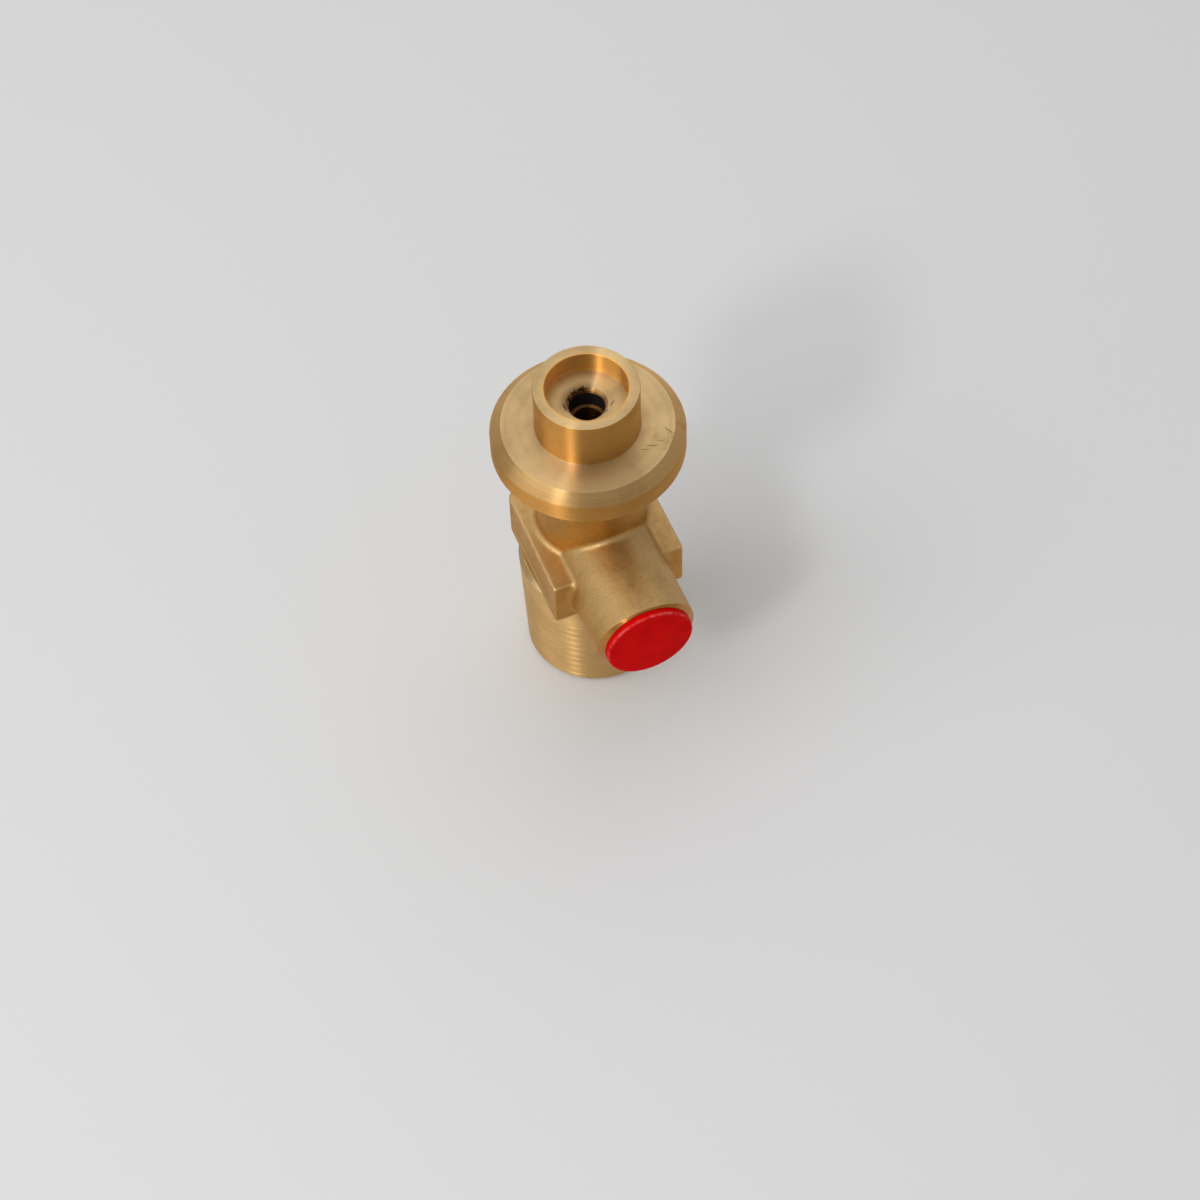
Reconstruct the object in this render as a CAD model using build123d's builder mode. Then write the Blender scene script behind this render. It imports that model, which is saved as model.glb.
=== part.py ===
"""Self-closing cylinder valve for liquefied gas, with a clip-on flange head and a side relief valve.

The forged brass body stands on its inlet end, with the origin at the centre of that end.
+Z runs up the body's axis and -Y out of the relief boss. Lengths are millimetres.
"""

import os

from build123d import *

# Inlet stem: a tapered gas thread, drawn as its plain cone, that runs out below a plain length
thread_length = 21.3
thread_small_diameter = 26.2
thread_taper = 1 / 16
thread_lead = 0.9
plain_length = 5.0
stem_top_chamfer = 0.8

# Wrench block: two parallel flats with a shallow panel sunk in each
across_flats = 25.5
block_height = 9.8
block_front = 13.3
block_back = 11.3
block_front_corner = 0.45
block_back_corner = 2.4
block_edge = 0.4
panel_margin = 1.5
panel_depth = 0.35
panel_corner = 1.2

# Neck and clip-on head
neck_diameter = 20.2
neck_height = 21.5
flange_diameter = 35.0
flange_edge_height = 4.1
flange_chamfer = 2.0
flange_lower_edge = 0.3
spigot_diameter = 18.9
spigot_height = 9.8
spigot_rim_chamfer = 0.4
spigot_root = 0.5
spigot_bore_diameter = 14.8
spigot_bore_depth = 4.3
spigot_floor_slope = 0.35
bore_groove_depth = 0.2
bore_groove_width = 0.6
bore_groove_station = 2.9

# Probe hole through the spigot's floor, with the gasket in a groove under its lip
probe_hole_diameter = 6.6
probe_hole_countersink = 0.45
probe_lip = 0.6
gasket_outer_diameter = 10.0
gasket_bore_diameter = 6.5
gasket_height = 3.1

# Relief boss: forged oval and a little low, with its mouth turned true to the bore
boss_width = 19.0
boss_height = 18.0
boss_drop = 0.35
boss_reach = 27.0
boss_axis_above_block = 6.2
boss_mouth_diameter = 16.7
boss_mouth_chamfer = 1.8
junction_fillet = 1.2

# Gas passages
chamber_diameter = 15.0
chamber_depth = 43.5
chamber_mouth_chamfer = 0.6
stem_hole_diameter = 5.3
seat_inner_diameter = 7.0
seat_width = 0.9
seat_height = 0.8
relief_bore_diameter = 12.4
relief_bore_floor = 10.2
relief_port_diameter = 4.0
relief_seat_width = 0.7
relief_seat_height = 0.6

# Poppet: stem, cupped head and guided tail turned in one, with a rubber washer
poppet_stem_diameter = 3.8
poppet_stem_recess = 3.7
poppet_stem_chamfer = 0.3
poppet_head_diameter = 12.0
poppet_head_thickness = 3.0
poppet_cup_wall = 0.75
poppet_cup_height = 1.4
poppet_seal_thickness = 2.4
poppet_tail_diameter = 4.8
poppet_tail_end = 6.0

# Retainer screwed into the inlet end, which guides the tail and carries the spring
retainer_recess = 1.0
retainer_thickness = 8.0
retainer_boss_diameter = 7.2
retainer_boss_height = 3.0
retainer_chamfer = 0.5
flow_hole_diameter = 2.6
flow_hole_count = 4
key_slot_width = 1.6
key_slot_depth = 1.5

# Relief valve: rubber pad in a cupped disc, spring and threaded adjuster
relief_pad_diameter = 7.8
relief_pad_thickness = 1.8
relief_disc_diameter = 10.8
relief_disc_thickness = 1.6
relief_cup_height = 1.0
relief_stem_diameter = 3.4
relief_stem_recess = 1.2
adjuster_thickness = 2.6
adjuster_gap = 0.2
adjuster_key_size = 5.0
adjuster_chamfer = 0.4

# Dust cap pushed into the boss's mouth
cap_diameter = 16.5
cap_thickness = 1.35
cap_edge = 0.4
cap_plug_length = 3.6
cap_plug_wall = 1.2

# Coil springs, with wire drawn as a hexagon
poppet_wire = 1.1
poppet_coil_pitch = 4.5
relief_wire = 0.9
relief_coil_inset = 2.1
relief_coil_pitch = 1.6

# Clearances
running_clearance = 0.05
fit_clearance = 0.02
spring_clearance = 0.1
coil_clearance = 0.3

# Heights up the body, from the inlet end
block_base = thread_length + plain_length
block_top = block_base + block_height
flange_base = block_top + neck_height
flange_shoulder = flange_base + flange_edge_height
flange_top = flange_shoulder + flange_chamfer
rim = flange_top + spigot_height
floor_edge = rim - spigot_bore_depth
probe_mouth = floor_edge - spigot_floor_slope
lip_base = probe_mouth - probe_hole_countersink - probe_lip
gasket_base = lip_base - gasket_height - fit_clearance
seat_face = chamber_depth - seat_height
poppet_head_top = seat_face - poppet_seal_thickness
poppet_head_base = poppet_head_top - poppet_head_thickness
poppet_stem_top = gasket_base - poppet_stem_recess
retainer_top = retainer_recess + retainer_thickness
boss_axis = block_base + boss_axis_above_block

# Stations out along the relief boss, from the body's axis
relief_seat_face = relief_bore_floor + relief_seat_height
relief_pad_back = relief_seat_face + relief_pad_thickness
relief_disc_back = relief_pad_back + relief_disc_thickness
adjuster_face = boss_reach - cap_plug_length - adjuster_gap
adjuster_base = adjuster_face - adjuster_thickness
relief_stem_end = adjuster_face - relief_stem_recess

# Turned pieces are drawn as half sections: (radius, height) or (radius, station)
BODY_SECTION = Plane.XZ
BODY_AXIS = Axis.Z
RELIEF_SECTION = Plane(origin=(0, 0, boss_axis), x_dir=(1, 0, 0), z_dir=(0, 0, -1))
RELIEF_AXIS = Axis((0, 0, boss_axis), (0, -1, 0))
BOSS_PLANE = Plane(origin=(0, 0, boss_axis), x_dir=(0, 0, -1), z_dir=(0, -1, 0))

os.makedirs("parts", exist_ok=True)


def turn(section, axis, points, mode=Mode.ADD):
    """Revolve a closed half section about an axis, in the part that is being built."""
    with BuildSketch(section) as half:
        with BuildLine():
            Polyline(*points, close=True)
        make_face()
    revolve(half.sketch, axis=axis, mode=mode)


def coil(plane, length, coil_diameter, wire, pitch):
    """Sweep a hexagonal wire along a helix that starts on a plane and fills a length."""
    with BuildLine() as path:
        Helix(pitch, length, coil_diameter / 2, center=plane.origin, direction=plane.z_dir)
    with BuildSketch(Plane(origin=path.line @ 0, z_dir=path.line % 0)) as wire_section:
        RegularPolygon(wire / 2, 6)
    sweep(wire_section.sketch, path=path.line, is_frenet=True)


# Valve body: one forging, turned at the inlet and the head
thread_small_radius = thread_small_diameter / 2
stem_top_radius = thread_small_radius + block_base * thread_taper / 2
neck_radius = neck_diameter / 2
flange_radius = flange_diameter / 2
spigot_radius = spigot_diameter / 2
spigot_bore_radius = spigot_bore_diameter / 2
groove_top = rim - bore_groove_station
groove_radius = spigot_bore_radius + bore_groove_depth
probe_hole_radius = probe_hole_diameter / 2
gasket_groove_radius = gasket_outer_diameter / 2 + fit_clearance
stem_hole_radius = stem_hole_diameter / 2
seat_inner_radius = seat_inner_diameter / 2
chamber_radius = chamber_diameter / 2
relief_bore_radius = relief_bore_diameter / 2
relief_port_radius = relief_port_diameter / 2
boss_mouth_radius = boss_mouth_diameter / 2
block_length = block_front + block_back
block_middle = (block_back - block_front) / 2

with BuildPart() as valve_body:
    # Wrench block with rounded forged edges
    with BuildSketch(Plane.XY.offset(block_base)) as block_outline:
        with Locations((0, block_middle)):
            Rectangle(across_flats, block_length)
        fillet(block_outline.vertices().group_by(Axis.Y)[0], block_front_corner)
        fillet(block_outline.vertices().group_by(Axis.Y)[-1], block_back_corner)
    extrude(amount=block_height)
    fillet(valve_body.edges().group_by(Axis.Z)[-1], block_edge)

    # Stem, neck, flange and spigot
    turn(
        BODY_SECTION,
        BODY_AXIS,
        [
            (0, 0),
            (thread_small_radius - thread_lead, 0),
            (thread_small_radius, thread_lead),
            (stem_top_radius, block_base - stem_top_chamfer),
            (stem_top_radius - stem_top_chamfer, block_base),
            (neck_radius, block_base),
            (neck_radius, flange_base),
            (flange_radius - flange_lower_edge, flange_base),
            (flange_radius, flange_base + flange_lower_edge),
            (flange_radius, flange_shoulder),
            (flange_radius - flange_chamfer, flange_top),
            (spigot_radius + spigot_root, flange_top),
            (spigot_radius, flange_top + spigot_root),
            (spigot_radius, rim - spigot_rim_chamfer),
            (spigot_radius - spigot_rim_chamfer, rim),
            (0, rim),
        ],
    )

    # Relief boss, blended into the block and the neck as a forging is
    with BuildSketch(BOSS_PLANE):
        with Locations((boss_drop, 0)):
            Ellipse(boss_height / 2, boss_width / 2)
    extrude(amount=boss_reach)
    boss_root = valve_body.edges(Select.NEW).filter_by(lambda edge: edge.bounding_box().max.Z > boss_axis)
    neck_root = valve_body.edges().filter_by(GeomType.CIRCLE).filter_by_position(Axis.Z, block_top, block_top)
    fillet(boss_root + neck_root.filter_by(lambda edge: edge.radius > neck_radius - fit_clearance), junction_fillet)
    turn(
        RELIEF_SECTION,
        RELIEF_AXIS,
        [
            (boss_mouth_radius, boss_reach),
            (boss_mouth_radius + boss_mouth_chamfer, boss_reach),
            (boss_mouth_radius + boss_mouth_chamfer, boss_reach - boss_mouth_chamfer),
        ],
        mode=Mode.SUBTRACT,
    )

    # Head bore, probe hole, gasket groove and stem hole
    turn(
        BODY_SECTION,
        BODY_AXIS,
        [
            (0, rim),
            (spigot_bore_radius, rim),
            (spigot_bore_radius, groove_top),
            (groove_radius, groove_top),
            (groove_radius, groove_top - bore_groove_width),
            (spigot_bore_radius, groove_top - bore_groove_width),
            (spigot_bore_radius, floor_edge),
            (probe_hole_radius + probe_hole_countersink, probe_mouth),
            (probe_hole_radius, probe_mouth - probe_hole_countersink),
            (probe_hole_radius, lip_base),
            (gasket_groove_radius, lip_base),
            (gasket_groove_radius, gasket_base),
            (stem_hole_radius, gasket_base),
            (stem_hole_radius, chamber_depth),
            (seat_inner_radius, chamber_depth),
            (seat_inner_radius, seat_face),
            (0, seat_face),
        ],
        mode=Mode.SUBTRACT,
    )

    # Inlet chamber, with the main seat standing down from its roof
    turn(
        BODY_SECTION,
        BODY_AXIS,
        [
            (0, 0),
            (chamber_radius + chamber_mouth_chamfer, 0),
            (chamber_radius, chamber_mouth_chamfer),
            (chamber_radius, chamber_depth),
            (seat_inner_radius + seat_width, chamber_depth),
            (seat_inner_radius + seat_width, seat_face),
            (0, seat_face),
        ],
        mode=Mode.SUBTRACT,
    )

    # Relief bore, with its seat standing out from the floor around the port
    turn(
        RELIEF_SECTION,
        RELIEF_AXIS,
        [
            (0, 0),
            (relief_port_radius, 0),
            (relief_port_radius, relief_seat_face),
            (relief_port_radius + relief_seat_width, relief_seat_face),
            (relief_port_radius + relief_seat_width, relief_bore_floor),
            (relief_bore_radius, relief_bore_floor),
            (relief_bore_radius, boss_reach),
            (0, boss_reach),
        ],
        mode=Mode.SUBTRACT,
    )

    # Shallow panel sunk in each flat
    for side in (1, -1):
        with BuildSketch(Plane.YZ.offset(side * (across_flats / 2 - panel_depth))):
            with Locations((block_middle, block_base + block_height / 2)):
                RectangleRounded(
                    block_length - 2 * panel_margin, block_height - 2 * panel_margin, panel_corner
                )
        extrude(amount=side * panel_depth, mode=Mode.SUBTRACT)

valve_body.part.label = "valve_body"
export_step(valve_body.part, "parts/valve_body.step")

# Gasket that grips the regulator's probe
with BuildPart() as probe_gasket:
    turn(
        BODY_SECTION,
        BODY_AXIS,
        [
            (gasket_bore_diameter / 2, gasket_base),
            (gasket_outer_diameter / 2, gasket_base),
            (gasket_outer_diameter / 2, gasket_base + gasket_height),
            (gasket_bore_diameter / 2, gasket_base + gasket_height),
        ],
    )

probe_gasket.part.label = "probe_gasket"
export_step(probe_gasket.part, "parts/probe_gasket.step")

# Poppet spindle: the stem that the probe pushes, the cupped head and the guided tail
poppet_stem_radius = poppet_stem_diameter / 2
poppet_head_radius = poppet_head_diameter / 2
poppet_cup_radius = poppet_head_radius - poppet_cup_wall
poppet_tail_radius = poppet_tail_diameter / 2

with BuildPart() as poppet_spindle:
    turn(
        BODY_SECTION,
        BODY_AXIS,
        [
            (0, poppet_tail_end),
            (poppet_tail_radius - poppet_stem_chamfer, poppet_tail_end),
            (poppet_tail_radius, poppet_tail_end + poppet_stem_chamfer),
            (poppet_tail_radius, poppet_head_base),
            (poppet_head_radius, poppet_head_base),
            (poppet_head_radius, poppet_head_top + poppet_cup_height),
            (poppet_cup_radius, poppet_head_top + poppet_cup_height),
            (poppet_cup_radius, poppet_head_top),
            (poppet_stem_radius, poppet_head_top),
            (poppet_stem_radius, poppet_stem_top - poppet_stem_chamfer),
            (poppet_stem_radius - poppet_stem_chamfer, poppet_stem_top),
            (0, poppet_stem_top),
        ],
    )

poppet_spindle.part.label = "poppet_spindle"
export_step(poppet_spindle.part, "parts/poppet_spindle.step")

# Rubber washer in the poppet's cup, shut against the main seat
with BuildPart() as poppet_washer:
    turn(
        BODY_SECTION,
        BODY_AXIS,
        [
            (poppet_stem_radius + fit_clearance, poppet_head_top),
            (poppet_cup_radius - fit_clearance, poppet_head_top),
            (poppet_cup_radius - fit_clearance, seat_face),
            (poppet_stem_radius + fit_clearance, seat_face),
        ],
    )

poppet_washer.part.label = "poppet_washer"
export_step(poppet_washer.part, "parts/poppet_washer.step")

# Inlet retainer: threaded disc with a guide for the tail, gas holes and a key slot
retainer_radius = chamber_radius - fit_clearance
retainer_guide_radius = poppet_tail_radius + running_clearance
retainer_boss_radius = retainer_boss_diameter / 2
flow_hole_radius = (retainer_boss_radius + chamber_radius) / 2

with BuildPart() as inlet_retainer:
    turn(
        BODY_SECTION,
        BODY_AXIS,
        [
            (retainer_guide_radius, retainer_recess),
            (retainer_radius - retainer_chamfer, retainer_recess),
            (retainer_radius, retainer_recess + retainer_chamfer),
            (retainer_radius, retainer_top),
            (retainer_boss_radius, retainer_top),
            (retainer_boss_radius, retainer_top + retainer_boss_height),
            (retainer_guide_radius, retainer_top + retainer_boss_height),
        ],
    )
    with BuildSketch(Plane.XY.offset(retainer_recess)):
        with PolarLocations(flow_hole_radius, flow_hole_count, start_angle=180 / flow_hole_count):
            Circle(flow_hole_diameter / 2)
    extrude(amount=retainer_thickness, mode=Mode.SUBTRACT)
    with BuildSketch(Plane.XY.offset(retainer_recess)):
        Rectangle(2 * retainer_radius, key_slot_width)
    extrude(amount=key_slot_depth, mode=Mode.SUBTRACT)

inlet_retainer.part.label = "inlet_retainer"
export_step(inlet_retainer.part, "parts/inlet_retainer.step")

# Poppet spring: stands on the retainer and pushes the poppet's head up
poppet_coil_diameter = retainer_boss_diameter + poppet_wire + 2 * coil_clearance
poppet_coil_base = retainer_top + poppet_wire / 2 + spring_clearance
poppet_coil_top = poppet_head_base - poppet_wire / 2 - spring_clearance

with BuildPart() as poppet_spring:
    coil(
        Plane.XY.offset(poppet_coil_base),
        poppet_coil_top - poppet_coil_base,
        poppet_coil_diameter,
        poppet_wire,
        poppet_coil_pitch,
    )

poppet_spring.part.label = "poppet_spring"
export_step(poppet_spring.part, "parts/poppet_spring.step")

# Relief disc: cupped for the pad, with a stem that guides it through the adjuster
relief_disc_radius = relief_disc_diameter / 2
relief_pad_radius = relief_pad_diameter / 2
relief_stem_radius = relief_stem_diameter / 2

with BuildPart() as relief_disc:
    turn(
        RELIEF_SECTION,
        RELIEF_AXIS,
        [
            (0, relief_pad_back),
            (relief_pad_radius + fit_clearance, relief_pad_back),
            (relief_pad_radius + fit_clearance, relief_pad_back - relief_cup_height),
            (relief_disc_radius, relief_pad_back - relief_cup_height),
            (relief_disc_radius, relief_disc_back),
            (relief_stem_radius, relief_disc_back),
            (relief_stem_radius, relief_stem_end),
            (0, relief_stem_end),
        ],
    )

relief_disc.part.label = "relief_disc"
export_step(relief_disc.part, "parts/relief_disc.step")

# Rubber pad in the relief disc, shut against the relief seat
with BuildPart() as relief_pad:
    turn(
        RELIEF_SECTION,
        RELIEF_AXIS,
        [
            (0, relief_seat_face),
            (relief_pad_radius, relief_seat_face),
            (relief_pad_radius, relief_pad_back),
            (0, relief_pad_back),
        ],
    )

relief_pad.part.label = "relief_pad"
export_step(relief_pad.part, "parts/relief_pad.step")

# Relief spring: from the back of the disc to the adjuster
relief_coil_diameter = relief_bore_diameter - relief_wire - 2 * relief_coil_inset
relief_coil_base = relief_disc_back + relief_wire / 2 + spring_clearance
relief_coil_top = adjuster_base - relief_wire / 2 - spring_clearance

with BuildPart() as relief_spring:
    coil(
        BOSS_PLANE.offset(relief_coil_base),
        relief_coil_top - relief_coil_base,
        relief_coil_diameter,
        relief_wire,
        relief_coil_pitch,
    )

relief_spring.part.label = "relief_spring"
export_step(relief_spring.part, "parts/relief_spring.step")

# Relief adjuster: threaded ring turned with a hexagonal key to set the spring
adjuster_radius = relief_bore_radius - fit_clearance

with BuildPart() as relief_adjuster:
    turn(
        RELIEF_SECTION,
        RELIEF_AXIS,
        [
            (0, adjuster_base),
            (adjuster_radius, adjuster_base),
            (adjuster_radius, adjuster_face - adjuster_chamfer),
            (adjuster_radius - adjuster_chamfer, adjuster_face),
            (0, adjuster_face),
        ],
    )
    with BuildSketch(BOSS_PLANE.offset(adjuster_base)):
        RegularPolygon(adjuster_key_size / 2, 6, major_radius=False)
    extrude(amount=adjuster_thickness, mode=Mode.SUBTRACT)

relief_adjuster.part.label = "relief_adjuster"
export_step(relief_adjuster.part, "parts/relief_adjuster.step")

# Dust cap: a round head on the boss's mouth, with a hollow plug pushed into the bore
cap_radius = cap_diameter / 2
cap_plug_radius = relief_bore_radius - running_clearance
cap_face = boss_reach + cap_thickness

with BuildPart() as relief_cap:
    turn(
        RELIEF_SECTION,
        RELIEF_AXIS,
        [
            (0, boss_reach),
            (cap_plug_radius - cap_plug_wall, boss_reach),
            (cap_plug_radius - cap_plug_wall, boss_reach - cap_plug_length),
            (cap_plug_radius, boss_reach - cap_plug_length),
            (cap_plug_radius, boss_reach),
            (cap_radius, boss_reach),
            (cap_radius, cap_face),
            (0, cap_face),
        ],
    )
    fillet(relief_cap.edges().group_by(Axis.Y)[0], cap_edge)

relief_cap.part.label = "relief_cap"
export_step(relief_cap.part, "parts/relief_cap.step")
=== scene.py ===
"""Brass gas cylinder valve with a clip-on head and a capped relief boss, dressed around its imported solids.

The frame is the one the solids use: metres, origin at the centre of the inlet end, +Z up the body's
axis and -Y out along the relief boss. The sub-assemblies hold their sizes in millimetres, as on a drawing,
and the finishes hold theirs in metres, as a shader reads them.
"""

import logging
import math
from dataclasses import dataclass, field
from enum import Enum
from typing import Callable, Sequence

import bmesh
import bpy
from mathutils import Matrix, Vector, noise


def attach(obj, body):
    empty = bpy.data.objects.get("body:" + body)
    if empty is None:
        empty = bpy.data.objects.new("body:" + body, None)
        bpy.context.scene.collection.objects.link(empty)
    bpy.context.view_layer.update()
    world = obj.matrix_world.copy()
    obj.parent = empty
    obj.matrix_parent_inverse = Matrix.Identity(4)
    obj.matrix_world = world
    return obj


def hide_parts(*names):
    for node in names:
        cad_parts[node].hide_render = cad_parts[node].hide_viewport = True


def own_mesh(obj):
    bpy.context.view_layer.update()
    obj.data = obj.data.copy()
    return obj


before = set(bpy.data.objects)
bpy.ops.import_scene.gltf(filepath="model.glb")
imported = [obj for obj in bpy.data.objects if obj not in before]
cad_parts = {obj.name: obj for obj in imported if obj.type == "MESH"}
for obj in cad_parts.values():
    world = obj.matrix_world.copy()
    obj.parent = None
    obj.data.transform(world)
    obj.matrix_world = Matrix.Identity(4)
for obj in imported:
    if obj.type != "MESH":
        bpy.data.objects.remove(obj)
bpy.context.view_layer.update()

logging.basicConfig(level=logging.INFO, format="%(message)s")
log = logging.getLogger("valve")

MM = 0.001
BODY = "body"
DUST_CAP = "dust_cap"
WEAR = "wear"

# Height of the relief boss's axis and its reach from the body's axis, in millimetres.
BOSS_AXIS = 32.5
BOSS_REACH = 27.0

# Gaps, in metres, that are closed when meshes are joined.
SLIVER_GAP = 1e-8
DOUBLE_GAP = 1e-7
MERGE_GAP = 1e-6
WELD_GAP = 2e-6

Point = tuple[float, float]
Corner = tuple[float, float, float]
Place = tuple[float, float, float]
Colour = tuple[float, float, float, float]
Section = Callable[[float], Sequence[Corner]]
Socket = bpy.types.NodeSocket
Material = bpy.types.Material
Piece = bpy.types.Object


class TurningAxis(Enum):
    """The two axes that pieces of the valve are turned about."""

    BODY = "body"
    RELIEF = "relief"


class ForgedZone(Enum):
    """Planes where the forged skin ends and a machined piece takes over."""

    STEM = "stem"
    HEAD = "head"
    MOUTH = "mouth"


def tone(red: int, green: int, blue: int) -> Colour:
    """Turn a display colour into the linear colour that a shader takes.

    Args:
        red: Red, 0 to 255.
        green: Green, 0 to 255.
        blue: Blue, 0 to 255.

    Returns:
        The linear colour with full alpha.
    """

    def channel(level: int) -> float:
        """Undo the display curve of one channel."""
        share = level / 255
        return share / 12.92 if share <= 0.04045 else ((share + 0.055) / 1.055) ** 2.4

    return (channel(red), channel(green), channel(blue), 1.0)


@dataclass(frozen=True)
class Grain:
    """A noise in a piece's own space: features per metre, octaves, and the weight of the finer ones."""

    per_metre: float
    octaves: float
    fineness: float


@dataclass(frozen=True)
class Ramp:
    """A soft step: the range that a value crosses, and what comes out at its two ends."""

    low: float | Socket
    high: float | Socket
    first: float = 0.0
    last: float = 1.0


class NodeTree:
    """Short calls that the material trees and the geometry trees share."""

    tree: bpy.types.NodeTree

    def feed(self, target: Socket, value: object) -> None:
        """Give an input socket a constant or a link.

        Args:
            target: The input socket.
            value: A number, a colour, a vector or an output socket.
        """
        if isinstance(value, Socket):
            self.tree.links.new(value, target)
        else:
            target.default_value = value

    def math(self, operation: str, *values: object) -> Socket:
        """Add a Math node.

        Args:
            operation: The node's operation.
            *values: Its values or sockets.

        Returns:
            The node's output.
        """
        node = self.tree.nodes.new("ShaderNodeMath")
        node.operation = operation
        for target, value in zip(node.inputs, values):
            self.feed(target, value)
        return node.outputs[0]

    def plus(self, first: object, second: object) -> Socket:
        """Add two values or sockets."""
        return self.math("ADD", first, second)

    def minus(self, first: object, second: object) -> Socket:
        """Take the second value or socket from the first."""
        return self.math("SUBTRACT", first, second)

    def times(self, first: object, *others: object) -> Socket:
        """Multiply values or sockets.

        Args:
            first: The first factor.
            *others: The other factors.

        Returns:
            The product.
        """
        product = first
        for other in others:
            product = self.math("MULTIPLY", product, other)
        return product

    def below(self, value: Socket, limit: float) -> Socket:
        """1 where the value is below the limit, else 0."""
        return self.math("LESS_THAN", value, limit)

    def above(self, value: Socket, limit: float) -> Socket:
        """1 where the value is above the limit, else 0."""
        return self.math("GREATER_THAN", value, limit)

    def span(self, value: Socket, ramp: Ramp) -> Socket:
        """Map a value through a soft step.

        Args:
            value: The value's socket.
            ramp: The step.

        Returns:
            The mapped value.
        """
        node = self.tree.nodes.new("ShaderNodeMapRange")
        node.interpolation_type = "SMOOTHSTEP"
        self.feed(node.inputs["Value"], value)
        self.feed(node.inputs["From Min"], ramp.low)
        self.feed(node.inputs["From Max"], ramp.high)
        self.feed(node.inputs["To Min"], ramp.first)
        self.feed(node.inputs["To Max"], ramp.last)
        return node.outputs["Result"]


class ShaderTree(NodeTree):
    """A material's node tree with short calls for the nodes that the finishes use."""

    def __init__(self, name: str) -> None:
        """Make an empty material with a Principled shader on its output.

        Args:
            name: The material's name.
        """
        self.material = bpy.data.materials.new(name)
        self.material.use_nodes = True
        self.tree = self.material.node_tree
        self.tree.nodes.clear()
        output = self.tree.nodes.new("ShaderNodeOutputMaterial")
        self.shader = self.tree.nodes.new("ShaderNodeBsdfPrincipled")
        self.tree.links.new(self.shader.outputs["BSDF"], output.inputs["Surface"])
        coordinates = self.tree.nodes.new("ShaderNodeTexCoord")
        self.place = coordinates.outputs["Object"]
        self.normal = coordinates.outputs["Normal"]

    def set(self, socket: str, value: object) -> None:
        """Set a shader input to a constant, or link it when the value is a socket.

        Args:
            socket: The shader input's name.
            value: A number, a colour or an output socket.
        """
        self.feed(self.shader.inputs[socket], value)

    def blend(self, share: Socket, first: object, second: object) -> Socket:
        """Mix two colours.

        Args:
            share: How much of the second colour.
            first: First colour or socket.
            second: Second colour or socket.

        Returns:
            The mixed colour.
        """
        node = self.tree.nodes.new("ShaderNodeMix")
        node.data_type = "RGBA"
        self.feed(node.inputs[0], share)
        self.feed(node.inputs[6], first)
        self.feed(node.inputs[7], second)
        return node.outputs[2]

    def noise(self, grain: Grain) -> Socket:
        """Add a Noise texture in the piece's own space.

        Args:
            grain: The noise's sizes.

        Returns:
            The noise's value.
        """
        node = self.tree.nodes.new("ShaderNodeTexNoise")
        node.inputs["Scale"].default_value = grain.per_metre
        node.inputs["Detail"].default_value = grain.octaves
        node.inputs["Roughness"].default_value = grain.fineness
        self.tree.links.new(self.place, node.inputs["Vector"])
        return node.outputs["Fac"]

    def patches(self, grain: Grain, ramp: Ramp) -> Socket:
        """Noise mapped through a soft step, which gives patches or an uneven value."""
        return self.span(self.noise(grain), ramp)

    def sway(self, grain: Grain, reach: float) -> Socket:
        """Noise about zero, which makes an edge ragged."""
        return self.times(self.minus(self.noise(grain), 0.5), reach)

    def rings(self, along: Socket, scale: float, octaves: float) -> Socket:
        """Add noise that varies along one value only, as a turning tool leaves.

        Args:
            along: The value that the tool travels along, in metres.
            scale: Lines per metre.
            octaves: Octaves.

        Returns:
            The noise's value.
        """
        node = self.tree.nodes.new("ShaderNodeTexNoise")
        node.noise_dimensions = "1D"
        node.inputs["Scale"].default_value = scale
        node.inputs["Detail"].default_value = octaves
        self.tree.links.new(along, node.inputs["W"])
        return node.outputs["Fac"]

    def axes(self, vector: Socket | None = None) -> tuple[Socket, Socket, Socket]:
        """Split the piece's coordinates, or another vector, into X, Y and Z."""
        node = self.tree.nodes.new("ShaderNodeSeparateXYZ")
        self.tree.links.new(self.place if vector is None else vector, node.inputs[0])
        return node.outputs[0], node.outputs[1], node.outputs[2]

    def facing(self, axis: str) -> Socket:
        """How squarely the surface faces along an axis, either way, 0 to 1."""
        return self.math("ABSOLUTE", self.axes(self.normal)["XYZ".index(axis)])

    def radius(self, first: Socket, second: Socket) -> Socket:
        """Distance from an axis, from the two coordinates across it."""
        return self.math("SQRT", self.plus(self.times(first, first), self.times(second, second)))

    def attribute(self, name: str) -> Socket:
        """A value that the piece's mesh carries."""
        node = self.tree.nodes.new("ShaderNodeAttribute")
        node.attribute_name = name
        return node.outputs["Fac"]

    def bump(self, height: Socket, depth: float, under: Socket | None = None) -> Socket:
        """Add a Bump node.

        Args:
            height: Height from 0 to 1.
            depth: Metres that a height of 1 stands for.
            under: A normal that this bump is laid over.

        Returns:
            The bumped normal.
        """
        node = self.tree.nodes.new("ShaderNodeBump")
        node.inputs["Strength"].default_value = 1.0
        node.inputs["Distance"].default_value = depth
        self.tree.links.new(height, node.inputs["Height"])
        if under is not None:
            self.tree.links.new(under, node.inputs["Normal"])
        return node.outputs["Normal"]

    def radial_tangent(self, axis: str) -> Socket:
        """Tangent that runs round an axis, for brushed highlights.

        Args:
            axis: X, Y or Z.

        Returns:
            The tangent.
        """
        node = self.tree.nodes.new("ShaderNodeTangent")
        node.direction_type = "RADIAL"
        node.axis = axis
        return node.outputs[0]


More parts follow.
